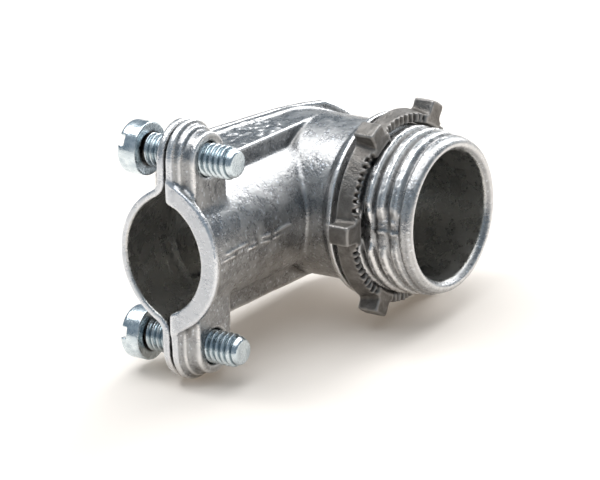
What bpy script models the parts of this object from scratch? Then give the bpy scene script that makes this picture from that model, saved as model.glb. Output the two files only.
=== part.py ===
"""A 90 degree squeeze connector: a die-cast elbow with a threaded nipple and a locknut, and a clamp cover
held by two slotted screws.

The design is drawn from the point where the two passages cross. The nipple points along +X, the limb
with the clamp mouth along -Y, and the casting is symmetric about Z = 0. An empty then sets the bottom
centre of the whole fitting at the world's origin.
"""

from math import atan2, cos, pi, radians, sin, sqrt, tan

import bmesh
import bpy
from mathutils import Matrix, Vector

MM = 0.001

# Nipple and its shoulder, turned about X
BARREL_R = 10.1 * MM
BARREL_BACK_X = -8.0 * MM
SHOULDER_R = 11.5 * MM
SHOULDER_X = 12.9 * MM
SHOULDER_RIM = 0.6 * MM
SHOULDER_FLARE = 1.5 * MM
NECK_R = 9.4 * MM
THREAD_R = 10.2 * MM
THREAD_DEPTH = 0.8 * MM
THREAD_PITCH = 1.814 * MM
THREAD_TURNS = 4
THREAD_CREST = 0.3 * MM
THREAD_START_X = 13.9 * MM
LIP_R = 9.5 * MM
MOUTH_X = 23.2 * MM
MOUTH_CHAMFER = 0.4 * MM
NIPPLE_BORE_R = 8.1 * MM

# Limb, a half tube along Y with two rails
LIMB_R = 8.4 * MM
LIMB_BORE_R = 7.5 * MM
LIMB_MOUTH_Y = -31.1 * MM
COLLAR_R = 9.95 * MM
COLLAR_DEPTH = 1.0 * MM
RAIL_BACK_X = -8.0 * MM
RAIL_FRONT_X = 3.5 * MM
RAIL_START_Y = -22.6 * MM
RAIL_HALF_WIDTH = 10.05 * MM
CHANNEL_HALF_WIDTH = 7.5 * MM

# Ears and the screws through them
FLANGE_X = 2.8 * MM
EAR_R = 4.5 * MM
EAR_Y = LIMB_MOUTH_Y + EAR_R
SCREW_Z = 11.8 * MM
EAR_STEPS = ((3.7 * MM, 4.5 * MM), (4.6 * MM, 3.9 * MM), (6.2 * MM, 3.35 * MM))
EAR_FOOT_Z = 5.0 * MM
SCREW_R = 2.05 * MM
TAPPED_HOLE_R = 2.4 * MM
CLEARANCE_HOLE_R = 2.5 * MM
HEAD_R = 3.3 * MM
HEAD_HEIGHT = 3.3 * MM
HEAD_DOME = 0.7 * MM
HEAD_CROWN_R = 2.0 * MM
HEAD_CROWN_DROP = 0.17 * MM
SLOT_WIDTH = 1.3 * MM
SLOT_DEPTH = 1.5 * MM
SCREW_TAPER = 1.0 * MM
SCREWS = (
    ("clamp_screw_upper", 1, -2.55 * MM, 10.4 * MM, radians(28)),
    ("clamp_screw_lower", -1, -3.14 * MM, 10.3 * MM, radians(12)),
)

# Seam between the body and the cover, seen along Z: it backs away from the ears and slopes round the elbow
SEAM_START = (-4.2 * MM, -20.6 * MM)
SEAM_MIDDLE = (-3.6 * MM, -11.0 * MM)
SEAM_CORNER = (-1.3 * MM, 1.36 * MM)
SEAM_END = (5.0 * MM, 10.4 * MM)
SEAM_BEND_R = 12.0 * MM
COVER_GAP = 0.4 * MM

# Clamp cover
COVER_THICKNESS = 1.0 * MM
COVER_END_R = 11.4 * MM
SADDLE_CENTRE_X = 4.85 * MM
SADDLE_MID_R = 8.75 * MM
SADDLE_SWEEP = radians(62)
COVER_EAR_R = 4.4 * MM
WEB_GAP = 0.4 * MM

# Locknut
NUT_X = (14.0 * MM, 16.9 * MM)
NUT_BORE_R = 10.6 * MM
NUT_RING_R = 12.1 * MM
NUT_LUG_R = 13.6 * MM
NUT_LUG_WIDTH = 2.5 * MM
NUT_LUGS = 6

FAR = 40 * MM
EDGE = 1 * MM

# Local Z turned onto each world axis, keeping right-handed axes
ALONG_X = Matrix(((0, 0, 1, 0), (1, 0, 0, 0), (0, 1, 0, 0), (0, 0, 0, 1)))
ALONG_Y = Matrix(((0, 1, 0, 0), (0, 0, 1, 0), (1, 0, 0, 0), (0, 0, 0, 1)))
ALONG_Z = Matrix.Identity(4)


def clear_scene():
    for obj in list(bpy.data.objects):
        bpy.data.objects.remove(obj, do_unlink=True)


def new_collection(name):
    collection = bpy.data.collections.new(name)
    bpy.context.scene.collection.children.link(collection)
    return collection


def metal(name, colour, roughness):
    material = bpy.data.materials.new(name)
    material.use_nodes = True
    shader = material.node_tree.nodes["Principled BSDF"]
    shader.inputs["Base Color"].default_value = (*colour, 1)
    shader.inputs["Metallic"].default_value = 1
    shader.inputs["Roughness"].default_value = roughness
    return material


def arc(centre, radius, start, end, steps=12):
    """Points on an arc from start to end, two angles in radians."""
    angles = [start + (end - start) * i / steps for i in range(steps + 1)]
    return [(centre[0] + radius * cos(a), centre[1] + radius * sin(a)) for a in angles]


def bent(before, corner, after, radius, steps=10):
    """The corner of a path rounded off by a tangent arc."""
    corner = Vector(corner)
    inward = (Vector(before) - corner).normalized()
    onward = (Vector(after) - corner).normalized()
    half = inward.angle(onward) / 2
    centre = corner + (inward + onward).normalized() * radius / sin(half)
    first = corner + inward * radius / tan(half) - centre
    last = corner + onward * radius / tan(half) - centre
    start = atan2(first.y, first.x)
    turn = (atan2(last.y, last.x) - start + pi) % (2 * pi) - pi
    return arc(centre, radius, start, start + turn, steps)


def offset(path, distance):
    """The path moved to its left by a distance."""
    moved = []
    for i, point in enumerate(path):
        ahead = Vector(path[min(i + 1, len(path) - 1)]) - Vector(point)
        behind = Vector(point) - Vector(path[max(i - 1, 0)])
        parts = [v.normalized() for v in (behind, ahead) if v.length > 0]
        normals = [Vector((-v.y, v.x)) for v in parts]
        normal = sum(normals, Vector((0, 0))).normalized()
        scale = distance / normal.dot(normals[0])
        moved.append((point[0] + normal.x * scale, point[1] + normal.y * scale))
    return moved


def add_object(name, mesh, material, placed):
    obj = bpy.data.objects.new(name, mesh)
    if material:
        mesh.materials.append(material)
        parts.objects.link(obj)
    else:
        obj.hide_render = True
        obj.display_type = "WIRE"
        cutters.objects.link(obj)
    obj.parent = origin
    obj.matrix_basis = placed
    return obj


def extruded(name, outline, low, high, along, material=None, holes=()):
    """A flat outline given in the plane across an axis, filled between two heights on that axis."""
    curve = bpy.data.curves.new(name, "CURVE")
    curve.dimensions = "2D"
    curve.fill_mode = "BOTH"
    curve.extrude = (high - low) / 2
    for loop in (outline, *holes):
        spline = curve.splines.new("POLY")
        spline.points.add(len(loop) - 1)
        for point, (x, y) in zip(spline.points, loop):
            point.co = (x, y, 0, 1)
        spline.use_cyclic_u = True
    drawn = bpy.data.objects.new(name + "_outline", curve)
    bpy.context.scene.collection.objects.link(drawn)
    graph = bpy.context.evaluated_depsgraph_get()
    mesh = bpy.data.meshes.new_from_object(drawn.evaluated_get(graph))
    bpy.data.objects.remove(drawn)
    weld(mesh)
    return add_object(name, mesh, material, along @ Matrix.Translation((0, 0, (low + high) / 2)))


def weld(mesh):
    shape = bmesh.new()
    shape.from_mesh(mesh)
    bmesh.ops.remove_doubles(shape, verts=shape.verts, dist=1e-6)
    bmesh.ops.recalc_face_normals(shape, faces=shape.faces)
    shape.to_mesh(mesh)
    shape.free()


def turned(name, profile, along, steps, material=None):
    """A profile of (radius, height) points turned about an axis."""
    mesh = bpy.data.meshes.new(name)
    edges = [(i, i + 1) for i in range(len(profile) - 1)]
    mesh.from_pydata([(r, 0, h) for r, h in profile], edges, [])
    obj = add_object(name, mesh, material, along)
    screw = obj.modifiers.new("Turn", "SCREW")
    screw.steps = steps
    screw.render_steps = steps
    screw.use_merge_vertices = True
    screw.merge_threshold = 0.00001
    screw.use_smooth_shade = True
    return obj


def combine(obj, operation, others):
    for other in others:
        boolean = obj.modifiers.new(other.name, "BOOLEAN")
        boolean.operation = operation
        boolean.object = other


def smooth(obj, angle=radians(25)):
    obj.data.shade_smooth()
    obj.data.set_sharp_from_angle(angle=angle)


def circle(centre, radius, steps=24):
    return arc(centre, radius, 0, 2 * pi, steps)[:-1]


def ribbon(path, inner, outer):
    """The band between two offsets of a path."""
    return offset(path, inner) + offset(path, outer)[::-1]


def rectangle(low, high):
    return [low, (high[0], low[1]), high, (low[0], high[1])]


def seam_path():
    bend = bent(SEAM_MIDDLE, SEAM_CORNER, SEAM_END, SEAM_BEND_R)
    return [SEAM_START, SEAM_MIDDLE, *bend, SEAM_END]


def barrel_profile():
    """The outside of the nipple, shoulder and barrel, from the mouth back, with rings for the thread."""
    end = THREAD_START_X + THREAD_TURNS * THREAD_PITCH
    profile = [
        (0, MOUTH_X),
        (LIP_R - MOUTH_CHAMFER, MOUTH_X),
        (LIP_R, MOUTH_X - MOUTH_CHAMFER),
        (LIP_R, end),
    ]
    for turn in range(THREAD_TURNS):
        crest = end - turn * THREAD_PITCH - THREAD_PITCH / 2
        profile.append((THREAD_R, crest + THREAD_CREST / 2))
        profile.append((THREAD_R, crest - THREAD_CREST / 2))
        profile.append((THREAD_R - THREAD_DEPTH, crest - THREAD_PITCH / 2))
    rim_back = SHOULDER_X - SHOULDER_RIM
    profile += [
        (NECK_R, SHOULDER_X),
        (SHOULDER_R, SHOULDER_X),
        (SHOULDER_R, rim_back),
        (BARREL_R, rim_back - SHOULDER_FLARE),
        (BARREL_R, BARREL_BACK_X),
        (0, BARREL_BACK_X),
    ]
    return profile


def limb_profile():
    behind_collar = LIMB_MOUTH_Y + COLLAR_DEPTH
    return [
        (0, 0),
        (LIMB_R, 0),
        (LIMB_R, behind_collar),
        (COLLAR_R, behind_collar),
        (COLLAR_R, LIMB_MOUTH_Y),
        (0, LIMB_MOUTH_Y),
    ]


def ear_outline(side, radius, foot):
    """A tab round a screw, in the plane across X, running down to the limb."""
    tip = arc((EAR_Y, side * SCREW_Z), radius, 0, side * pi)
    return [*tip, (EAR_Y - radius, side * foot), (EAR_Y + radius, side * foot)]


def screw_holes(name, radius):
    return [
        extruded(f"{name}_{side}", circle((EAR_Y, side * SCREW_Z), radius), -FAR, FAR, ALONG_X)
        for side in (1, -1)
    ]


def make_body(material):
    body = turned("elbow_body", barrel_profile(), ALONG_X, 72, material)
    limb = turned("limb_tube", limb_profile(), ALONG_Y, 72)
    rails = extruded(
        "rails",
        rectangle((RAIL_BACK_X, RAIL_START_Y), (RAIL_FRONT_X, 0)),
        -RAIL_HALF_WIDTH,
        RAIL_HALF_WIDTH,
        ALONG_Z,
    )
    ears = [
        extruded(f"ear_{side}_{step}", ear_outline(side, radius, EAR_FOOT_Z), EDGE, front, ALONG_X)
        for side in (1, -1)
        for step, (front, radius) in enumerate(EAR_STEPS)
    ]
    combine(body, "UNION", [limb, rails, *ears])
    open_side = [
        (FLANGE_X, -FAR),
        (FLANGE_X, SEAM_START[1]),
        *seam_path(),
        (SEAM_END[0], FAR),
        (-FAR, FAR),
        (-FAR, -FAR),
    ]
    seam = extruded("open_side", open_side, -FAR, FAR, ALONG_Z)
    nipple_bore = extruded("nipple_bore", circle((0, 0), NIPPLE_BORE_R, 72), -FAR, FAR, ALONG_X)
    limb_bore = extruded("limb_bore", circle((0, 0), LIMB_BORE_R, 72), -FAR, 0, ALONG_Y)
    channel = extruded(
        "channel",
        rectangle((-FAR, -FAR), (0, 0)),
        -CHANNEL_HALF_WIDTH,
        CHANNEL_HALF_WIDTH,
        ALONG_Z,
    )
    cuts = [seam, nipple_bore, limb_bore, channel, *screw_holes("tapped_hole", TAPPED_HOLE_R)]
    combine(body, "DIFFERENCE", cuts)
    return body


def saddle_path():
    """The middle of the saddle's sheet as (Z, X): an arch, a fillet each side, and two flat ears."""
    ear_x = FLANGE_X - COVER_GAP - COVER_THICKNESS / 2
    foot = Vector((sin(SADDLE_SWEEP), -cos(SADDLE_SWEEP))) * SADDLE_MID_R
    foot.y += SADDLE_CENTRE_X
    fillet = (ear_x - foot.y) / (1 - cos(SADDLE_SWEEP))
    centre = (foot.x + fillet * sin(SADDLE_SWEEP), ear_x - fillet)
    half = arc((0, SADDLE_CENTRE_X), SADDLE_MID_R, -pi / 2, SADDLE_SWEEP - pi / 2, 14)
    half += arc(centre, fillet, pi / 2 + SADDLE_SWEEP, pi / 2, 8)[1:]
    half.append((SCREW_Z + 2 * EAR_R, ear_x))
    return [(-z, x) for z, x in half[:0:-1]] + half


def make_cover(material):
    half = COVER_THICKNESS / 2
    mouth = EAR_Y - COVER_EAR_R
    saddle_end = EAR_Y + COVER_EAR_R
    crown = SADDLE_CENTRE_X - SADDLE_MID_R + half
    run = [(crown + COVER_GAP, saddle_end - EDGE), *seam_path()]
    strip = ribbon(run, COVER_GAP, COVER_GAP + COVER_THICKNESS)
    cover = extruded("clamp_cover", strip, -RAIL_HALF_WIDTH, RAIL_HALF_WIDTH, ALONG_Z, material)
    start = sqrt(COVER_END_R**2 - RAIL_HALF_WIDTH**2)
    sweep = atan2(RAIL_HALF_WIDTH, start)
    plan = [
        (-FAR, -RAIL_HALF_WIDTH - EDGE),
        (0, -RAIL_HALF_WIDTH - EDGE),
        *arc((0, 0), COVER_END_R, -sweep, sweep, 32),
        (0, RAIL_HALF_WIDTH + EDGE),
        (-FAR, RAIL_HALF_WIDTH + EDGE),
    ]
    combine(cover, "INTERSECT", [extruded("cover_plan", plan, -FAR, FAR, ALONG_X)])

    path = saddle_path()
    saddle = extruded("saddle", ribbon(path, half, -half), mouth, saddle_end, ALONG_Y)
    stadium = arc((EAR_Y, SCREW_Z), COVER_EAR_R, 0, pi)
    stadium += arc((EAR_Y, -SCREW_Z), COVER_EAR_R, pi, 2 * pi)
    combine(saddle, "INTERSECT", [extruded("saddle_plan", stadium, -FAR, FAR, ALONG_X)])

    ear_face = FLANGE_X - COVER_GAP
    inside = [point for point in offset(path, half) if abs(point[0]) < RAIL_HALF_WIDTH]
    edge = [(RAIL_HALF_WIDTH, ear_face), (RAIL_HALF_WIDTH, crown - COVER_THICKNESS)]
    web_outline = inside + edge + [(-z, x) for z, x in edge[::-1]]
    web_low = saddle_end - WEB_GAP
    web_high = SEAM_START[1] - WEB_GAP
    web = extruded("web", web_outline, web_low, web_high, ALONG_Y)
    combine(cover, "UNION", [saddle, web])
    combine(cover, "DIFFERENCE", screw_holes("clearance_hole", CLEARANCE_HOLE_R))
    return cover


def make_screw(name, side, head_x, tip_x, slot_angle, material):
    """A slotted screw whose own axis is the object's Z."""
    shoulder = head_x - HEAD_HEIGHT + HEAD_DOME
    profile = [
        (0, tip_x),
        (SCREW_R - SCREW_TAPER / 2, tip_x),
        (SCREW_R, tip_x - SCREW_TAPER),
        (SCREW_R, head_x),
        (HEAD_R, head_x),
        (HEAD_R, shoulder),
        (HEAD_CROWN_R, shoulder - HEAD_DOME + HEAD_CROWN_DROP),
        (0, shoulder - HEAD_DOME),
    ]
    placed = Matrix.Translation((0, EAR_Y, side * SCREW_Z)) @ ALONG_X
    screw = turned(name, profile, placed, 32, material)
    slot = extruded(
        name + "_slot",
        rectangle((-FAR, -SLOT_WIDTH / 2), (FAR, SLOT_WIDTH / 2)),
        shoulder - HEAD_DOME - EDGE,
        shoulder - HEAD_DOME + SLOT_DEPTH,
        placed @ Matrix.Rotation(-slot_angle, 4, "Z"),
    )
    combine(screw, "DIFFERENCE", [slot])


def make_locknut(material):
    half_lug = NUT_LUG_WIDTH / 2
    outline = []
    for lug in range(NUT_LUGS):
        middle = 2 * pi * lug / NUT_LUGS
        root = half_lug / NUT_RING_R
        tip = half_lug / NUT_LUG_R
        outline += arc((0, 0), NUT_LUG_R, middle - tip, middle + tip, 3)
        gap_end = middle + 2 * pi / NUT_LUGS - root
        outline += arc((0, 0), NUT_RING_R, middle + root, gap_end, 8)
    bore = circle((0, 0), NUT_BORE_R, 72)
    extruded("locknut", outline, *NUT_X, ALONG_X, material, holes=(bore,))


clear_scene()
parts = new_collection("squeeze_connector")
cutters = new_collection("cutters")
cutters.hide_render = True
origin = bpy.data.objects.new("fitting_frame", None)
parts.objects.link(origin)

zinc = metal("cast_zinc", (0.62, 0.62, 0.63), 0.38)
plated = metal("zinc_plated_steel", (0.66, 0.72, 0.76), 0.25)
dark = metal("dark_zinc", (0.22, 0.20, 0.19), 0.5)

make_body(zinc)
make_cover(zinc)
for settings in SCREWS:
    make_screw(*settings, plated)
make_locknut(dark)

lowest_head = min(head_x for _, _, head_x, _, _ in SCREWS) - HEAD_HEIGHT
origin.location = (
    -(lowest_head + MOUTH_X) / 2,
    -(LIMB_MOUTH_Y + NUT_LUG_R) / 2,
    SCREW_Z + EAR_R,
)
bpy.context.view_layer.update()
for part in parts.objects:
    if part.type == "MESH":
        smooth(part)
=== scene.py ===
"""The looks of a 90 degree squeeze connector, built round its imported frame.

Each piece is one field of signed distances, in millimetres and negative inside, sampled on a grid and meshed
where it is zero. Fields of simple shapes are joined and cut with rounded corners, as a casting is, and a
little noise and blur then give the soft, slightly uneven skin of die-cast zinc. The design is drawn from the
point where the two passages cross: the nipple along +X, the clamp limb along -Y, symmetric about Z = 0.
"""

from math import atan2, cos, pi, radians, sin, sqrt, tan

import bpy
import numpy as np
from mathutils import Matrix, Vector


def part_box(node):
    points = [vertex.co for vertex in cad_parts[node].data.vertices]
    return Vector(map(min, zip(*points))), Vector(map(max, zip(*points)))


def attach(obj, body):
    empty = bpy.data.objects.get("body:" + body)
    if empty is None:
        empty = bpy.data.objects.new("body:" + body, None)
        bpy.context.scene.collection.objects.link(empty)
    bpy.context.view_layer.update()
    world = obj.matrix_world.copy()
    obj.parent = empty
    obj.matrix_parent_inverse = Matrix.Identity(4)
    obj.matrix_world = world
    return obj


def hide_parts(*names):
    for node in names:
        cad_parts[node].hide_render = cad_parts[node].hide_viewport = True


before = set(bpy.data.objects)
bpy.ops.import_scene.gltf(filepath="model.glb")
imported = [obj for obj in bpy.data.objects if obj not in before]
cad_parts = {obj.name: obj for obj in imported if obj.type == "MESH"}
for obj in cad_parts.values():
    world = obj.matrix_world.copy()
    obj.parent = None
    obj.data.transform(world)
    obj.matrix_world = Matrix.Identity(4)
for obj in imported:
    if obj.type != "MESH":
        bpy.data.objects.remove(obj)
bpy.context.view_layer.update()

import openvdb
from mathutils import Matrix, Vector

# All sizes below are in millimetres and angles in radians. FAR is past every shape, and an OVERLAP makes
# two shapes run into each other where they are joined
MM = 0.001
FAR = 60.0
OVERLAP = 1.0

# Nipple, shoulder and barrel, about X
BARREL_BACK_X = -8.0
BARREL_R = 10.1
SHOULDER_R = 11.5
SHOULDER_X = 12.9
SHOULDER_RIM = 0.6
SHOULDER_FLARE = 1.5
NECK_R = 9.4
THREAD_ROOT_R = 9.4
THREAD_CREST_R = 10.35
THREAD_PITCH = 1.814
THREAD_X = (13.9, 22.2)
THREAD_CREST_X = 14.47
THREAD_TAPER_X = 17.9
THREAD_TAPER = 0.1
THREAD_RUN_IN = 0.6
THREAD_RUN_OUT = 0.5
THREAD_GAIN = 1.6
THREAD_SHIFT = 0.45
THREAD_STRETCH = 0.75
THREAD_PIT = 0.07
LIP_R = 9.75
LIP_BACK_X = 21.7
LIP_ROUND = ((0.7, 0.0), (0.25, 0.3), (0.0, 0.9))
MOUTH_X = 23.2
NIPPLE_BORE_R = 8.1
MOUTH_FLARE = 0.5
MOUTH_FLARE_DEPTH = 0.8
FLAT_HALF_WIDTH = 3.2
FLAT_SHARE = 0.8
FLASH_HEIGHT = 0.3
FLASH_HALF_WIDTH = 0.2

# Limb, about Y, and its two rails
LIMB_R = 8.4
LIMB_BORE_R = 7.5
LIMB_MOUTH_Y = -31.1
COLLAR_R = 9.95
COLLAR_DEPTH = 1.0
RAIL_BACK_X = -8.0
RAIL_FRONT_X = 3.5
RAIL_START_Y = -22.6
RAIL_HALF_WIDTH = 10.05
CHANNEL_HALF_WIDTH = 7.5
LIP_STRIP_WIDTH = 1.3
LIP_STRIP_RISE = 0.25

# Cast marks: a double flash ridge along the limb's side, and folds, high on the rails and faint elsewhere
RIDGE_HEIGHT = 0.3
RIDGE_Z = 0.36
RIDGE_HALF_WIDTH = 0.17
RIDGE_START_Y = (-28.5, -26.5)
RIDGE_END_Y = (-14, -10)
FOLD_SIZE = (0.55, 0.7, 0.55)
FOLD_WIDTH = 0.13
FOLD_HEIGHT = 0.02
RAIL_FOLD_HEIGHT = 0.38
RAIL_FOLD_DEPTH = (0.2, 0.5)
RAIL_FOLD_X = (-3.0, -2.2, 2.7, 3.1)
RAIL_FOLD_END_Y = (-6, -4)

# Roundings of the castings, and the uneven skin: each wave has a height, a size and a seed
BODY_FILLET = 0.5
RAIL_FILLET = 0.35
RAIL_EDGE = 0.2
EAR_FILLET = 0.6
EAR_EDGE = 0.3
EAR_STEP_FILLET = 0.15
LIP_STRIP_EDGE = 0.15
SEAM_EDGE = 0.25
BORE_EDGE = 0.3
COVER_FILLET = 0.6
COVER_EDGE = 0.3
COVER_HOLE_EDGE = 0.15
CAST_BLUR = 0.13
BODY_SKIN = ((0.03, 2.6, 1), (0.015, 0.9, 2))
COVER_SKIN = ((0.025, 2.2, 3), (0.012, 0.8, 4))

# Ears and screws
FLANGE_X = 2.8
EAR_R = 4.5
EAR_Y = LIMB_MOUTH_Y + EAR_R
SCREW_Z = 11.8
EAR_STEPS = ((3.7, 4.5), (4.6, 3.9), (6.2, 3.35))
EAR_FOOT_Z = 5.0
TAPPED_HOLE_R = 2.2
CLEARANCE_HOLE_R = 2.5
SCREW_R = 2.05
SCREW_PITCH = 0.794
SCREW_DEPTH = 0.42
SCREW_GAIN = 0.7
SCREW_STRETCH = 0.7
SCREW_TIP_R = 1.5
SCREW_TIP_SLOPE = 0.5
HEAD_R = 3.3
HEAD_HEIGHT = 3.3
HEAD_DOME = 0.7
SLOT_WIDTH = 1.3
SLOT_DEPTH = 1.5
SHANK_EDGE = 0.12
HEAD_EDGE = 0.2
DOME_EDGE = 0.35
SLOT_EDGE = 0.1
UNDERHEAD_FILLET = 0.2
SCREW_BLUR = 0.06

# Each screw's name, its side in Z, where its head ends and its tip ends in X, and the angle of its slot
SCREWS = (
    ("upper", 1, -2.55, 10.4, radians(28)),
    ("lower", -1, -3.14, 10.3, radians(12)),
)

# Seam between body and cover, seen along Z, and the cover
SEAM_START = (-4.2, -20.6)
SEAM_MIDDLE = (-3.6, -11.0)
SEAM_CORNER = (-1.3, 1.36)
SEAM_END = (5.0, 10.4)
SEAM_BEND_R = 12.0
COVER_GAP = 0.4
COVER_THICKNESS = 1.0
COVER_END_R = 11.4
SADDLE_CENTRE_X = 4.85
SADDLE_MID_R = 8.75
SADDLE_SWEEP = radians(62)
COVER_EAR_R = 4.4

# Locknut
NUT_X = (14.0, 16.9)
NUT_BORE_R = 10.6
NUT_RING_R = 12.15
NUT_CONE = 0.18
NUT_LUG_R = 13.65
NUT_LUG_WIDTH = 2.5
NUT_LUGS = 6
NUT_RECESS_R = 11.75
NUT_RECESS_DEPTH = 0.9
NUT_TEETH = 78
NUT_STRETCH = 0.98
TOOTH_SHARE = 0.7
RECESS_FROM_LUG = (0.15, 0.19)
NUT_EDGE = 0.22
NUT_BORE_EDGE = 0.15
NUT_RECESS_EDGE = 0.08
LUG_EDGE = 0.25
LUG_FILLET = 0.5
NUT_BLUR = 0.1
NUT_ROUGHNESS = 0.03
NUT_GRAIN = 0.02

# Colours. A list is a ramp from one shade of the metal to another, and the rest are mixed over it
ZINC_MOTTLE = [(0.32, (0.29, 0.29, 0.295)), (0.5, (0.37, 0.37, 0.37)), (0.68, (0.48, 0.475, 0.47))]
ZINC_SPECK = (0.18, 0.18, 0.19)
ZINC_FLECK = (0.84, 0.88, 0.94)
# Lighter colour on convex edges: partly rubbed metal, partly a painted highlight
ZINC_RUBBED_AND_HIGHLIGHT = (0.80, 0.79, 0.78)
# Painted shade: darker colour laid into hollows and grooves
ZINC_HOLLOW_SHADE = (0.24, 0.235, 0.23)
ZINC_TRIMMED = (0.70, 0.73, 0.78)
# Painted light: a lighter colour on the passages' inner walls, so they read brighter
ZINC_INSIDE_LIGHTENED = (0.58, 0.57, 0.54)
STEEL_PATCHES = [(0.35, (0.52, 0.59, 0.63)), (0.6, (0.70, 0.77, 0.80)), (0.75, (0.84, 0.88, 0.90))]
# Painted shade in the screws' thread roots
STEEL_ROOT_SHADE = (0.22, 0.28, 0.31)
# Painted shade: near-black colour inside the screw slots
STEEL_SLOT_SHADE = (0.07, 0.065, 0.06)
DARK_PATCHES = [(0.3, (0.13, 0.119, 0.108)), (0.5, (0.175, 0.162, 0.148)), (0.7, (0.24, 0.226, 0.21))]
# Lighter colour on the locknut's edges: partly rubbed metal, partly a painted highlight
DARK_RUBBED_AND_HIGHLIGHT = (0.40, 0.38, 0.36)
# Painted shade: near-black colour in the locknut's corners and recesses
DARK_CORNER_SHADE = (0.035, 0.031, 0.028)

# Staging. Each lamp has a name, the direction it shines from, its spread in degrees and its strength, and
# the floor's half width is in metres
REST_TILT = radians(6.5)
FLOOR_HALF = 4.0
FLOOR_COLOUR = (0.82, 0.78, 0.735, 1)
FLOOR_GLOW = (0.14, 0.11, 0.08, 1)
FLOOR_ROUGHNESS = 0.9
WORLD_COLOUR = (0.68, 0.84, 1.0, 1)
WORLD_STRENGTH = 0.33
SKY_LIGHTS = (
    ("overhead", (-0.12, -0.03, 1.0), 66, 2.4),
    ("high_left", (-0.55, -0.11, 0.83), 16, 0.45),
    ("behind", (0.02, 0.80, 0.60), 40, 1.8),
)
CAMERA_AZIMUTH = radians(35.41)
CAMERA_ELEVATION = radians(18.09)
CAMERA_ROLL = radians(-1.60)
CAMERA_DISTANCE = 623.3
CAMERA_ASIDE = 0.13
CAMERA_BELOW = 6.53
CAMERA_LENS = 300
CAMERA_SENSOR = 36

# Sampling: the steps of each grid, how far from a surface its field is kept, and the boxes that are sampled
CAST_STEP = 0.14
SCREW_STEP = 0.07
NUT_STEP = 0.1
TURNED_STEP = 0.02
FIELD_REACH = 1.5
SMALL_REACH = 1.0
BODY_GRID = ((-5.5, -31.8, -16.9), (23.8, 12.2, 16.9))
COVER_GRID = ((-6.0, -31.8, -16.8), (7.0, 12.2, 16.8))
NUT_GRID = ((13.6, -14.1, -14.1), (17.3, 14.1, 14.1))
SCREW_MARGIN = 0.4
MOST_TRIANGLES = 190_000

# How far round a point the convexity looks, and how strongly a corner counts; convex edges get rubbed metal
# with a painted highlight, and hollows get painted shade
CONVEXITY_REACH = 0.35
WIDE_CONVEXITY_REACH = 1.0
CONVEXITY_GAIN = 1.6
CONVEXITY_CLIP = 1.5
FACES_INWARD = (0.2, 0.5)
NO_ZERO = 0.001


# Sampling and meshing


class Grid:
    """Evenly spaced points in a box, kept as three lines that broadcast against each other."""

    def __init__(self, low, high, step):
        self.low = np.array(low, np.float32)
        self.step = step
        self.lines = [
            (a + step * np.arange(int((b - a) / step) + 2)).astype(np.float32) for a, b in zip(low, high)
        ]
        self.x = self.lines[0][:, None, None]
        self.y = self.lines[1][None, :, None]
        self.z = self.lines[2][None, None, :]


def sampled(field, grid, points):
    """The field's value at each point, from the eight samples round it."""
    place = (points - grid.low) / grid.step
    low = np.clip(place.astype(int), 0, np.array(field.shape) - 2)
    share = place - low
    value = np.zeros(len(points), np.float32)
    for corner in np.ndindex(2, 2, 2):
        weight = np.prod(np.where(corner, share, 1 - share), axis=1)
        value += weight * field[tuple((low + corner).T)]
    return value


def blurred(field, grid, radius):
    """The field averaged over a cube of that half width."""
    reach = max(1, round(radius / grid.step))
    for axis in range(3):
        padded = np.pad(field, [(reach + 1, reach) if i == axis else (0, 0) for i in range(3)], "edge")
        total = np.cumsum(padded, axis=axis, dtype=np.float64)
        ends = [np.take(total, range(start, start + field.shape[axis]), axis) for start in (2 * reach + 1, 0)]
        field = ((ends[0] - ends[1]) / (2 * reach + 1)).astype(np.float32)
    return field


def lumps(grid, size, seed):
    """Smooth noise from -1 to 1 whose bumps are about that size, one number or one for each axis."""
    weights = []
    for line, length in zip(grid.lines, np.broadcast_to(size, 3)):
        place = (line - line[0]) / length
        low = place.astype(int)
        share = place - low
        share = share * share * (3 - 2 * share)
        weight = np.zeros((len(line), low[-1] + 2), np.float32)
        weight[np.arange(len(line)), low] = 1 - share
        weight[np.arange(len(line)), low + 1] = share
        weights.append(weight)
    lattice = np.random.default_rng(seed).uniform(-1, 1, [w.shape[1] for w in weights])
    return np.einsum("ia,jb,kc,abc->ijk", *weights, lattice.astype(np.float32), optimize=True)


def wrinkles(grid, size, seed):
    """Thin winding ridges, 0 to 1, like those that cold metal leaves where it folds in the die."""
    ridges = np.exp(-((lumps(grid, size, seed) / FOLD_WIDTH) ** 2))
    return ridges * np.clip(0.5 + lumps(grid, size, seed + 50), 0, 1)


def skin(grid, waves):
    """The gentle unevenness of a cast surface."""
    return sum(height * lumps(grid, size, seed) for height, size, seed in waves)


# Shapes


def polygon(u, v, outline):
    """Distance to a closed outline in the plane of two coordinates."""
    nearest = np.full(np.broadcast_shapes(u.shape, v.shape), np.inf, np.float32)
    inside = np.zeros(nearest.shape, bool)
    for (au, av), (bu, bv) in zip(outline, outline[1:] + outline[:1]):
        eu, ev = bu - au, bv - av
        if eu == ev == 0:
            continue
        along = np.clip(((u - au) * eu + (v - av) * ev) / (eu * eu + ev * ev), 0, 1)
        nearest = np.minimum(nearest, (u - au - eu * along) ** 2 + (v - av - ev * along) ** 2)
        if ev:
            inside ^= ((av <= v) != (bv <= v)) & (u - au < (v - av) * eu / ev)
    return np.where(inside, -1, 1) * np.sqrt(nearest)


def turned(line, radius, outline):
    """Distance to an outline of (radius, height) points turned about an axis, heights first in the result."""
    radii = np.arange(0, radius.max() + 2 * TURNED_STEP, TURNED_STEP, dtype=np.float32)
    table = polygon(radii[None, :], line[:, None], outline)
    place = radius / TURNED_STEP
    low = place.astype(int)
    share = (place - low).astype(np.float32)
    return table[:, low] * (1 - share) + table[:, low + 1] * share


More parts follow.
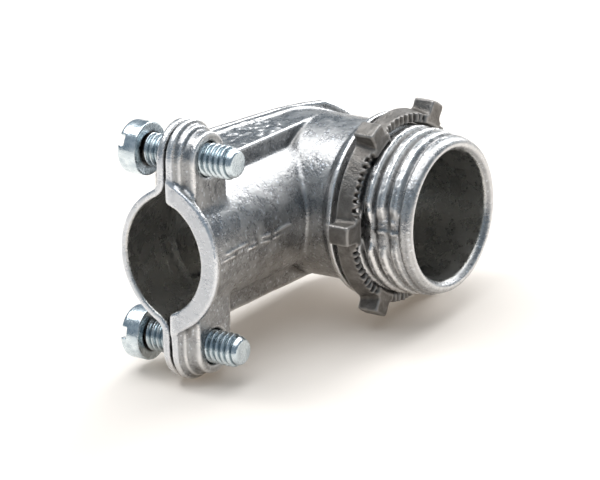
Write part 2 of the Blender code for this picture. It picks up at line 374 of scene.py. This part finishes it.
def slab(line, low, high):
    """Distance to the space between two flat faces."""
    return np.maximum(low - line, line - high)


def both(a, b, radius=0.0):
    """What is inside both fields, with the new edge rounded."""
    if not radius:
        return np.maximum(a, b)
    corner = np.hypot(np.maximum(a + radius, 0), np.maximum(b + radius, 0))
    return np.minimum(-radius, np.maximum(a, b)) + corner


def either(a, b, radius=0.0):
    """What is inside either field, with a fillet between them."""
    return -both(-a, -b, radius)


def cut(a, b, radius=0.0):
    """What is inside the first field and outside the second."""
    return both(a, -b, radius)


def smooth_step(value, start, end):
    t = np.clip((value - start) / (end - start), 0, 1)
    return t * t * (3 - 2 * t)


# Outlines


def arc(centre, radius, start, end, steps=24):
    """Points on an arc from start to end, two angles in radians."""
    angles = [start + (end - start) * i / steps for i in range(steps + 1)]
    return [(centre[0] + radius * cos(a), centre[1] + radius * sin(a)) for a in angles]


def bent(before, corner, after, radius, steps=16):
    """The corner of a path rounded off by a tangent arc."""
    corner = Vector(corner)
    inward = (Vector(before) - corner).normalized()
    onward = (Vector(after) - corner).normalized()
    half = inward.angle(onward) / 2
    centre = corner + (inward + onward).normalized() * radius / sin(half)
    first = corner + inward * radius / tan(half) - centre
    last = corner + onward * radius / tan(half) - centre
    start = atan2(first.y, first.x)
    turn = (atan2(last.y, last.x) - start + pi) % (2 * pi) - pi
    return arc(centre, radius, start, start + turn, steps)


def offset(path, distance):
    """The path moved to its left by a distance."""
    moved = []
    for i, point in enumerate(path):
        ahead = Vector(path[min(i + 1, len(path) - 1)]) - Vector(point)
        behind = Vector(point) - Vector(path[max(i - 1, 0)])
        parts = [v.normalized() for v in (behind, ahead) if v.length > 0]
        normals = [Vector((-v.y, v.x)) for v in parts]
        normal = sum(normals, Vector((0, 0))).normalized()
        scale = distance / normal.dot(normals[0])
        moved.append((point[0] + normal.x * scale, point[1] + normal.y * scale))
    return moved


def ribbon(path, inner, outer):
    """The band between two offsets of a path."""
    return offset(path, inner) + offset(path, outer)[::-1]


def seam_path():
    bend = bent(SEAM_MIDDLE, SEAM_CORNER, SEAM_END, SEAM_BEND_R)
    return [SEAM_START, SEAM_MIDDLE, *bend, SEAM_END]


def barrel_outline():
    rim_back = SHOULDER_X - SHOULDER_RIM
    return [
        (-FAR, MOUTH_X),
        *[(LIP_R - inward, MOUTH_X - back) for inward, back in LIP_ROUND],
        (LIP_R, LIP_BACK_X),
        (NECK_R, LIP_BACK_X),
        (NECK_R, SHOULDER_X),
        (SHOULDER_R, SHOULDER_X),
        (SHOULDER_R, rim_back),
        (BARREL_R, rim_back - SHOULDER_FLARE),
        (BARREL_R, BARREL_BACK_X),
        (-FAR, BARREL_BACK_X),
    ]


def limb_outline():
    behind = LIMB_MOUTH_Y + COLLAR_DEPTH
    return [
        (-FAR, 0),
        (LIMB_R, 0),
        (LIMB_R, behind),
        (COLLAR_R, behind),
        (COLLAR_R, LIMB_MOUTH_Y),
        (-FAR, LIMB_MOUTH_Y),
    ]


def ear_outline(side, radius):
    """A tab round a screw as (Y, Z), running down to the limb."""
    tip = arc((EAR_Y, side * SCREW_Z), radius, 0, side * pi)
    return [*tip, (EAR_Y - radius, side * EAR_FOOT_Z), (EAR_Y + radius, side * EAR_FOOT_Z)]


def saddle_path():
    """The middle of the saddle's sheet as (Z, X): an arch, a fillet each side, and two flat ears."""
    ear_x = FLANGE_X - COVER_GAP - COVER_THICKNESS / 2
    foot = Vector((sin(SADDLE_SWEEP), -cos(SADDLE_SWEEP))) * SADDLE_MID_R
    foot.y += SADDLE_CENTRE_X
    fillet = (ear_x - foot.y) / (1 - cos(SADDLE_SWEEP))
    centre = (foot.x + fillet * sin(SADDLE_SWEEP), ear_x - fillet)
    half = arc((0, SADDLE_CENTRE_X), SADDLE_MID_R, -pi / 2, SADDLE_SWEEP - pi / 2)
    half += arc(centre, fillet, pi / 2 + SADDLE_SWEEP, pi / 2, 12)[1:]
    half.append((SCREW_Z + 2 * EAR_R, ear_x))
    return [(-z, x) for z, x in half[:0:-1]] + half


# The body


def nipple_thread(g):
    """The cast thread: broad crests and narrow grooves, and on each side a flat with a ragged flash line."""
    radius = np.hypot(g.y, g.z)
    turn = np.arctan2(g.z, g.y) / (2 * pi)
    wave = np.cos(2 * pi * ((g.x - THREAD_CREST_X) / THREAD_PITCH - turn))
    height = np.clip(0.5 + THREAD_GAIN * (wave + THREAD_SHIFT), 0, 1)
    crest = THREAD_CREST_R - THREAD_TAPER * np.maximum(g.x - THREAD_TAPER_X, 0)
    start, end = THREAD_X
    ends = smooth_step(g.x, start - THREAD_RUN_IN, start) * (1 - smooth_step(g.x, end - THREAD_RUN_OUT, end))
    uneven = lumps(g, 1.0, 5)
    on_flat = 1 - smooth_step(np.abs(g.z) + 0.7 * uneven, 0.3 * FLAT_HALF_WIDTH, FLAT_HALF_WIDTH)
    rise = (crest - THREAD_ROOT_R) * height * ends * (1 - FLAT_SHARE * on_flat)
    flash = np.exp(-(((g.z + 0.15 * uneven) / FLASH_HALF_WIDTH) ** 2))
    flash = FLASH_HEIGHT * flash * np.clip(0.7 + uneven, 0, 1) * ends
    pits = THREAD_PIT * lumps(g, 0.55, 6) * height * ends
    return THREAD_STRETCH * (radius - THREAD_ROOT_R - rise - flash - pits)


def body_outside(g):
    barrel = turned(g.lines[0], np.hypot(g.y, g.z)[0], barrel_outline())
    thread = both(nipple_thread(g), slab(g.x, THREAD_X[0] - THREAD_RUN_IN, THREAD_X[1] + 0.4))
    limb = np.moveaxis(turned(g.lines[1], np.hypot(g.x, g.z)[:, 0, :], limb_outline()), 0, 1)
    rail_plan = [
        (RAIL_BACK_X, RAIL_START_Y),
        (RAIL_FRONT_X, RAIL_START_Y),
        (RAIL_FRONT_X, 0),
        (RAIL_BACK_X, 0),
    ]
    rails = both(polygon(g.x, g.y, rail_plan), np.abs(g.z) - RAIL_HALF_WIDTH, RAIL_EDGE)
    body = either(barrel, limb, BODY_FILLET)
    body = either(body, rails, RAIL_FILLET)
    for side in (1, -1):
        ear = None
        for front, radius in EAR_STEPS:
            step = both(polygon(g.y, g.z, ear_outline(side, radius)), slab(g.x, 0, front), EAR_EDGE)
            ear = step if ear is None else either(ear, step, EAR_STEP_FILLET)
        body = either(body, ear, EAR_FILLET)
    return either(body, thread)


def limb_marks(g):
    """How high the flash ridge and the folds stand over the smooth casting."""
    along = smooth_step(g.y, *RIDGE_START_Y) * (1 - smooth_step(g.y, *RIDGE_END_Y)) * (g.x > 0)
    ragged = np.clip(0.7 + lumps(g, (0.7, 0.9, 0.7), 11), 0, 1)
    ridge = np.exp(-(((np.abs(g.z + 0.12 * lumps(g, 1.4, 12)) - RIDGE_Z) / RIDGE_HALF_WIDTH) ** 2))
    rail_top = 1 - smooth_step(np.abs(np.abs(g.z) - RAIL_HALF_WIDTH), *RAIL_FOLD_DEPTH)
    rail_top = rail_top * smooth_step(g.y, RAIL_START_Y, RAIL_START_Y + 0.5)
    rail_top = rail_top * (1 - smooth_step(g.y, *RAIL_FOLD_END_Y))
    rail_top = rail_top * smooth_step(g.x, *RAIL_FOLD_X[:2]) * (1 - smooth_step(g.x, *RAIL_FOLD_X[2:]))
    folds = (FOLD_HEIGHT + RAIL_FOLD_HEIGHT * rail_top) * wrinkles(g, FOLD_SIZE, 13)
    return RIDGE_HEIGHT * ridge * along * ragged, folds


def body_field(g):
    body = body_outside(g)
    seam = seam_path()
    strip = polygon(g.x, g.y, ribbon(seam, -LIP_STRIP_WIDTH, COVER_GAP))
    body = either(body, both(body - LIP_STRIP_RISE, strip, LIP_STRIP_EDGE))
    for mark in limb_marks(g):
        body = body - mark
    far_corners = [(SEAM_END[0], FAR), (-FAR, FAR), (-FAR, -FAR)]
    open_side = [(FLANGE_X, -FAR), (FLANGE_X, SEAM_START[1]), *seam, *far_corners]
    body = cut(body, polygon(g.x, g.y, open_side), SEAM_EDGE)
    flare = MOUTH_FLARE * smooth_step(g.x, MOUTH_X - MOUTH_FLARE_DEPTH, MOUTH_X)
    bores = [
        np.hypot(g.y, g.z) - NIPPLE_BORE_R - flare,
        both(np.hypot(g.x, g.z) - LIMB_BORE_R, g.y),
        both(both(np.abs(g.z) - CHANNEL_HALF_WIDTH, g.x), g.y),
        np.hypot(g.y - EAR_Y, np.abs(g.z) - SCREW_Z) - TAPPED_HOLE_R,
    ]
    for bore in bores:
        body = cut(body, bore, BORE_EDGE)
    return blurred(np.clip(body + skin(g, BODY_SKIN), -FIELD_REACH, FIELD_REACH), g, CAST_BLUR)


# The cover


def cover_field(g):
    half = COVER_THICKNESS / 2
    saddle_end = EAR_Y + COVER_EAR_R
    crown = SADDLE_CENTRE_X - SADDLE_MID_R + half
    run = [(crown + COVER_GAP, saddle_end - OVERLAP), *seam_path()]
    start = sqrt(COVER_END_R**2 - RAIL_HALF_WIDTH**2)
    sweep = atan2(RAIL_HALF_WIDTH, start)
    plan = [
        (-FAR, -RAIL_HALF_WIDTH),
        (start, -RAIL_HALF_WIDTH),
        *arc((0, 0), COVER_END_R, -sweep, sweep, 48),
        (start, RAIL_HALF_WIDTH),
        (-FAR, RAIL_HALF_WIDTH),
    ]
    strip_side = polygon(g.x, g.y, ribbon(run, COVER_GAP, COVER_GAP + COVER_THICKNESS))
    strip = both(strip_side, polygon(g.y, g.z, plan), COVER_EDGE)
    stadium = arc((EAR_Y, SCREW_Z), COVER_EAR_R, 0, pi) + arc((EAR_Y, -SCREW_Z), COVER_EAR_R, pi, 2 * pi)
    path = saddle_path()
    saddle = both(polygon(g.z, g.x, ribbon(path, half, -half)), polygon(g.y, g.z, stadium), COVER_EDGE)
    ear_face = FLANGE_X - COVER_GAP
    inside = [point for point in offset(path, half) if abs(point[0]) < RAIL_HALF_WIDTH]
    edge = [(RAIL_HALF_WIDTH, ear_face), (RAIL_HALF_WIDTH, crown - COVER_THICKNESS)]
    web_outline = inside + edge + [(-z, x) for z, x in edge[::-1]]
    web_span = slab(g.y, saddle_end - COVER_GAP, SEAM_START[1] - COVER_GAP)
    web = both(polygon(g.z, g.x, web_outline), web_span, COVER_EDGE)
    cover = either(either(strip, web, COVER_FILLET), saddle, COVER_FILLET)
    holes = np.hypot(g.y - EAR_Y, np.abs(g.z) - SCREW_Z) - CLEARANCE_HOLE_R
    cover = cut(cover, holes, COVER_HOLE_EDGE)
    return blurred(np.clip(cover + skin(g, COVER_SKIN), -FIELD_REACH, FIELD_REACH), g, CAST_BLUR)


# Screws and locknut


def screw_field(g, head_x, tip_x, slot_angle):
    """A slotted cheese-head screw on the X axis."""
    radius = np.hypot(g.y, g.z)
    turn = np.arctan2(g.z, g.y) / (2 * pi)
    wave = np.cos(2 * pi * (g.x / SCREW_PITCH - turn))
    depth = SCREW_DEPTH * (1 - np.clip(0.5 + SCREW_GAIN * wave, 0, 1))
    cone = SCREW_TIP_R + SCREW_TIP_SLOPE * (tip_x - g.x)
    shank = SCREW_STRETCH * (radius - np.minimum(SCREW_R - depth, cone))
    shank = both(shank, slab(g.x, head_x - OVERLAP, tip_x), SHANK_EDGE)
    top = head_x - HEAD_HEIGHT
    dome_r = (HEAD_R**2 + HEAD_DOME**2) / (2 * HEAD_DOME)
    dome = np.sqrt((g.x - top - dome_r) ** 2 + radius**2) - dome_r
    head = both(both(radius - HEAD_R, g.x - head_x, HEAD_EDGE), dome, DOME_EDGE)
    across = g.y * sin(slot_angle) + g.z * cos(slot_angle)
    slot = both(np.abs(across) - SLOT_WIDTH / 2, g.x - top - SLOT_DEPTH)
    head = cut(head, slot, SLOT_EDGE)
    screw = either(shank, head, UNDERHEAD_FILLET)
    return blurred(np.clip(screw, -SMALL_REACH, SMALL_REACH), g, SCREW_BLUR)


def locknut_field(g):
    radius = np.hypot(g.y, g.z)
    angle = np.arctan2(g.z, g.y)
    rough = lumps(g, 0.8, 21)
    ring = NUT_STRETCH * (radius - NUT_RING_R + NUT_CONE * (g.x - NUT_X[0]))
    pitch = 2 * pi / NUT_LUGS
    from_lug = angle - pitch * np.round(angle / pitch)
    lug = both(np.abs(radius * np.sin(from_lug)) - NUT_LUG_WIDTH / 2, radius - NUT_LUG_R, LUG_EDGE)
    nut = both(either(ring, lug, LUG_FILLET), slab(g.x, *NUT_X), NUT_EDGE)
    nut = cut(nut, radius - NUT_BORE_R, NUT_BORE_EDGE)
    between = smooth_step(np.abs(from_lug), *RECESS_FROM_LUG)
    teeth = 0.55 + 1.2 * np.cos(NUT_TEETH * angle + 1.5 * rough) + 0.9 * lumps(g, 0.6, 24)
    uneven = np.clip(0.7 + 0.6 * lumps(g, 2.5, 23), 0.3, 1)
    filled = TOOTH_SHARE * uneven * (1 - np.clip(teeth, 0, 1))
    floor = NUT_X[1] - NUT_RECESS_DEPTH * (1 - filled) * between
    nut = cut(nut, both(radius - NUT_RECESS_R, floor - g.x), NUT_RECESS_EDGE)
    nut = nut + NUT_ROUGHNESS * rough + NUT_GRAIN * lumps(g, 0.4, 22)
    return blurred(np.clip(nut, -SMALL_REACH, SMALL_REACH), g, NUT_BLUR)


# Pieces


def piece(name, field, grid, place, material, body, node):
    """The zero surface of a field as a smooth mesh object, standing for a CAD node and riding on its body."""
    volume = openvdb.FloatGrid(2 * grid.step)
    band = 3 * grid.step
    volume.copyFromArray(np.clip(field, -band, band).astype(np.float32))
    points, quads = volume.convertToQuads(isovalue=0.0)
    points = points * grid.step + grid.low
    mesh = bpy.data.meshes.new(name)
    mesh.from_pydata(points * MM, [], quads.tolist())
    obj = bpy.data.objects.new(name, mesh)
    bpy.context.scene.collection.objects.link(obj)
    thin = obj.modifiers.new("Thin", "DECIMATE")
    thin.ratio = min(1, MOST_TRIANGLES / (2 * len(quads)))
    obj.data = bpy.data.meshes.new_from_object(obj.evaluated_get(bpy.context.evaluated_depsgraph_get()))
    obj.modifiers.clear()
    obj.data.name = name
    obj.data.shade_smooth()
    add_convexity(obj.data, field, grid)
    add_regions(obj.data)
    obj.data.materials.append(material)
    obj.location = place
    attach(obj, body)
    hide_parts(node)


def write_attribute(mesh, name, values):
    mesh.attributes.new(name, "FLOAT", "POINT").data.foreach_set("value", values.astype(np.float32))


def read_vectors(mesh, key):
    flat = np.empty(len(mesh.vertices) * 3, np.float32)
    mesh.vertices.foreach_get(key, flat)
    return flat.reshape(-1, 3)


def add_convexity(mesh, field, grid):
    """Attributes that are over 0.5 on edges that stand out and under 0.5 in corners and grooves, where the
    materials lay rubbed metal with painted highlight and painted shade.
    """
    points = read_vectors(mesh, "co") / MM
    for name, reach in (("convexity", CONVEXITY_REACH), ("convexity_wide", WIDE_CONVEXITY_REACH)):
        around = blurred(np.clip(field, -CONVEXITY_CLIP * reach, CONVEXITY_CLIP * reach), grid, reach)
        value = 0.5 + CONVEXITY_GAIN * sampled(around, grid, points) / reach
        write_attribute(mesh, name, np.clip(value, 0, 1))


def add_regions(mesh):
    """Attributes that mark the passages' walls and the limb's cut mouth, which only cast_zinc reads."""
    x, y, z = (read_vectors(mesh, "co") / MM).T
    normal_x, normal_y, normal_z = read_vectors(mesh, "normal").T
    limb_r, nipple_r = np.hypot(x, z) + NO_ZERO, np.hypot(y, z) + NO_ZERO
    to_limb = -(x * normal_x + z * normal_z) / limb_r
    to_nipple = -(y * normal_y + z * normal_z) / nipple_r
    in_limb = (limb_r < LIMB_BORE_R + 1.0) * (y < 0)
    in_nipple = (nipple_r < NIPPLE_BORE_R + 0.3) * (x < MOUTH_X - 0.6)
    inside = np.maximum(
        smooth_step(to_limb, *FACES_INWARD) * in_limb, smooth_step(to_nipple, *FACES_INWARD) * in_nipple
    )
    write_attribute(mesh, "inside", inside)
    write_attribute(mesh, "trimmed", smooth_step(-y, -LIMB_MOUTH_Y - 0.5, -LIMB_MOUTH_Y - 0.2))


# Materials


class Nodes:
    """A short way to write a material's node tree."""

    def __init__(self, name):
        self.material = bpy.data.materials.new(name)
        self.material.use_nodes = True
        self.tree = self.material.node_tree
        self.shader = self.tree.nodes["Principled BSDF"]
        self.place = self.add("ShaderNodeTexCoord").outputs["Object"]

    def add(self, kind, links=(), **settings):
        node = self.tree.nodes.new(kind)
        for key, value in settings.items():
            if hasattr(node, key):
                setattr(node, key, value)
            else:
                node.inputs[key.replace("_", " ")].default_value = value
        for socket, source in dict(links).items():
            self.tree.links.new(source, node.inputs[socket])
        return node

    def noise(self, size_mm, detail=2.0, roughness=0.5):
        """Noise whose features are about that many millimetres across."""
        settings = {"Scale": 1000 / size_mm, "Detail": detail, "Roughness": roughness}
        return self.add("ShaderNodeTexNoise", {"Vector": self.place}, **settings).outputs["Fac"]

    def attribute(self, name):
        return self.add("ShaderNodeAttribute", attribute_name=name).outputs["Fac"]

    def ramp(self, source, stops):
        """A ramp from (position, colour or grey) stops."""
        node = self.add("ShaderNodeValToRGB", {"Fac": source})
        elements = node.color_ramp.elements
        while len(elements) < len(stops):
            elements.new(0.5)
        for element, (position, colour) in zip(elements, stops):
            element.position = position
            element.color = (*colour, 1) if isinstance(colour, tuple) else (colour, colour, colour, 1)
        return node.outputs["Color"]

    def mix(self, share, a, b):
        """Colour a where the share is 0, and b where it is 1."""
        node = self.add("ShaderNodeMix", data_type="RGBA")
        for socket, value in ((0, share), (6, a), (7, b)):
            if isinstance(value, bpy.types.NodeSocket):
                self.tree.links.new(value, node.inputs[socket])
            else:
                node.inputs[socket].default_value = value if socket == 0 else (*value, 1)
        return node.outputs[2]

    def scaled(self, source, factor):
        node = self.add("ShaderNodeMath", {0: source}, operation="MULTIPLY")
        node.inputs[1].default_value = factor
        return node.outputs[0]

    def bump(self, height, depth_mm, after=None):
        links = {"Height": height}
        if after:
            links["Normal"] = after
        return self.add("ShaderNodeBump", links, Strength=1.0, Distance=depth_mm * MM).outputs["Normal"]

    def finish(self, **links):
        for socket, source in links.items():
            self.tree.links.new(source, self.shader.inputs[socket.replace("_", " ")])
        return self.material


def cast_zinc():
    """Die-cast zinc: bright and mottled, with a sparkling grain, painted shade in hollows, edges lightened as
    rubbed metal and painted highlight, and painted light on the passages' inner walls.
    """
    n = Nodes("cast_zinc")
    n.shader.inputs["Metallic"].default_value = 0.95
    grain = n.noise(0.3, 3.0, 0.65)
    mottle = n.noise(1.8, 5.0, 0.65)
    specks = n.noise(0.6, 2.0, 0.7)
    flecks = n.noise(0.42, 1.0, 0.5)
    convexity, wide = n.attribute("convexity"), n.attribute("convexity_wide")
    colour = n.ramp(mottle, ZINC_MOTTLE)
    colour = n.mix(n.ramp(specks, [(0.60, 0.0), (0.72, 0.6)]), colour, ZINC_SPECK)
    colour = n.mix(n.ramp(flecks, [(0.62, 0.0), (0.70, 0.5)]), colour, ZINC_FLECK)
    # Convex edges lightened: rubbed metal and a painted highlight
    colour = n.mix(n.ramp(convexity, [(0.55, 0.0), (0.75, 1.0)]), colour, ZINC_RUBBED_AND_HIGHLIGHT)
    # Painted shade in the hollows
    colour = n.mix(n.ramp(wide, [(0.2, 1.0), (0.40, 0.0)]), colour, ZINC_HOLLOW_SHADE)
    colour = n.mix(n.scaled(n.attribute("trimmed"), 0.55), colour, ZINC_TRIMMED)
    # Painted light on the inner walls of the passages
    colour = n.mix(n.scaled(n.attribute("inside"), 0.85), colour, ZINC_INSIDE_LIGHTENED)
    rough = n.ramp(mottle, [(0.35, 0.22), (0.5, 0.28), (0.65, 0.40)])
    bump = n.bump(grain, 0.06, after=n.bump(mottle, 0.10))
    return n.finish(Base_Color=colour, Roughness=rough, Normal=bump)


def plated_steel():
    """Bright zinc plate with a faint blue-green cast, painted shade in the thread roots and darker painted
    shade in the slots.
    """
    n = Nodes("zinc_plated_steel")
    n.shader.inputs["Metallic"].default_value = 1.0
    patches = n.noise(0.9, 3.0, 0.6)
    convexity, wide = n.attribute("convexity"), n.attribute("convexity_wide")
    colour = n.ramp(patches, STEEL_PATCHES)
    # Painted shade in the thread roots
    colour = n.mix(n.ramp(convexity, [(0.2, 1.0), (0.45, 0.0)]), colour, STEEL_ROOT_SHADE)
    # Painted shade in the slots
    colour = n.mix(n.ramp(wide, [(0.22, 1.0), (0.38, 0.0)]), colour, STEEL_SLOT_SHADE)
    rough = n.ramp(patches, [(0.3, 0.18), (0.7, 0.34)])
    return n.finish(Base_Color=colour, Roughness=rough, Normal=n.bump(n.noise(0.3, 3.0), 0.02))


def dark_zinc():
    """The locknut's dull brown-grey casting, lighter along its edges as rubbed metal and painted highlight,
    with painted shade in its corners.
    """
    n = Nodes("dark_zinc")
    n.shader.inputs["Metallic"].default_value = 0.8
    grain = n.noise(0.25, 3.0, 0.6)
    patches = n.noise(1.4, 3.0, 0.6)
    convexity = n.attribute("convexity")
    colour = n.ramp(patches, DARK_PATCHES)
    # Edges lightened: rubbed metal and a painted highlight
    colour = n.mix(n.ramp(convexity, [(0.62, 0.0), (0.80, 0.75)]), colour, DARK_RUBBED_AND_HIGHLIGHT)
    # Painted shade in the corners
    colour = n.mix(n.ramp(convexity, [(0.15, 1.0), (0.4, 0.0)]), colour, DARK_CORNER_SHADE)
    rough = n.ramp(grain, [(0.3, 0.30), (0.7, 0.50)])
    bump = n.bump(grain, 0.09, after=n.bump(patches, 0.15))
    return n.finish(Base_Color=colour, Roughness=rough, Normal=bump)


def floor_paper():
    n = Nodes("floor_paper")
    n.shader.inputs["Base Color"].default_value = FLOOR_COLOUR
    n.shader.inputs["Emission Color"].default_value = FLOOR_GLOW
    n.shader.inputs["Emission Strength"].default_value = 1.0
    n.shader.inputs["Roughness"].default_value = FLOOR_ROUGHNESS
    return n.material


# The scene


def make_camera(origin):
    """The main view: from in front of the nipple and a little above, through a long lens."""
    azimuth, elevation, roll = CAMERA_AZIMUTH, CAMERA_ELEVATION, CAMERA_ROLL
    back = Vector((sin(azimuth) * cos(elevation), -cos(azimuth) * cos(elevation), sin(elevation)))
    right = Vector((cos(azimuth), sin(azimuth), 0))
    up = back.cross(right)
    target = origin + (right * CAMERA_ASIDE - up * CAMERA_BELOW) * MM
    camera = bpy.data.cameras.new("camera")
    camera.lens = CAMERA_LENS
    camera.sensor_width = CAMERA_SENSOR
    camera.clip_start = 0.01
    obj = bpy.data.objects.new("camera", camera)
    axes = Matrix((right * cos(roll) + up * sin(roll), up * cos(roll) - right * sin(roll), back)).transposed()
    obj.matrix_world = Matrix.Translation(target + back * CAMERA_DISTANCE * MM) @ axes.to_4x4()
    bpy.context.scene.collection.objects.link(obj)
    bpy.context.scene.camera = obj


def make_sky_light(name, direction, spread, strength):
    """An even light from a round patch of the sky, so the floor is lit the same everywhere."""
    light = bpy.data.lights.new(name, "SUN")
    light.angle = radians(spread)
    light.energy = strength
    obj = bpy.data.objects.new(name, light)
    obj.rotation_mode = "QUATERNION"
    obj.rotation_quaternion = Vector(direction).normalized().to_track_quat("Z", "Y")
    bpy.context.scene.collection.objects.link(obj)


def make_floor(origin):
    """The fitting lies on its lower ear and a lug of its nut, so the floor rises from one to the other."""
    touch_y = origin.y + EAR_Y * MM
    touch_z = origin.z - (SCREW_Z + EAR_R / cos(REST_TILT)) * MM
    half = FLOOR_HALF
    corners = [(-half, -half), (half, -half), (half, half), (-half, half)]
    points = [(x, y, touch_z + (y - touch_y) * tan(REST_TILT)) for x, y in corners]
    mesh = bpy.data.meshes.new("floor")
    mesh.from_pydata(points, [], [(0, 1, 2, 3)])
    floor = bpy.data.objects.new("floor", mesh)
    mesh.materials.append(floor_paper())
    bpy.context.scene.collection.objects.link(floor)


def make_world():
    world = bpy.data.worlds.new("studio")
    world.use_nodes = True
    bpy.context.scene.world = world
    background = world.node_tree.nodes["Background"]
    background.inputs["Color"].default_value = WORLD_COLOUR
    background.inputs["Strength"].default_value = WORLD_STRENGTH


body_low, body_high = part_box("elbow_body")
origin = Vector(
    (body_high.x - MOUTH_X * MM, body_low.y - LIMB_MOUTH_Y * MM, (body_low.z + body_high.z) / 2)
)
zinc, plated, dark = cast_zinc(), plated_steel(), dark_zinc()
fine = 1.0

grid = Grid(*BODY_GRID, CAST_STEP * fine)
piece("elbow", body_field(grid), grid, origin, zinc, "body", "elbow_body")

grid = Grid(*COVER_GRID, CAST_STEP * fine)
piece("cover", cover_field(grid), grid, origin, zinc, "cover", "clamp_cover")

for name, side, head_x, tip_x, slot_angle in SCREWS:
    reach = HEAD_R + SCREW_MARGIN
    low = (head_x - HEAD_HEIGHT - SCREW_MARGIN, -reach, -reach)
    high = (tip_x + SCREW_MARGIN, reach, reach)
    grid = Grid(low, high, SCREW_STEP * fine)
    axis = origin + Vector((0, EAR_Y, side * SCREW_Z)) * MM
    field = screw_field(grid, head_x, tip_x, slot_angle)
    body, node = f"{name}_screw", f"clamp_screw_{name}"
    piece(f"screw_{name}", field, grid, axis, plated, body, node)

grid = Grid(*NUT_GRID, NUT_STEP * fine)
piece("nut", locknut_field(grid), grid, origin, dark, "nut", "locknut")

make_floor(origin)
make_camera(origin)
make_world()
for lamp in SKY_LIGHTS:
    make_sky_light(*lamp)
bpy.context.scene.view_settings.view_transform = "Standard"
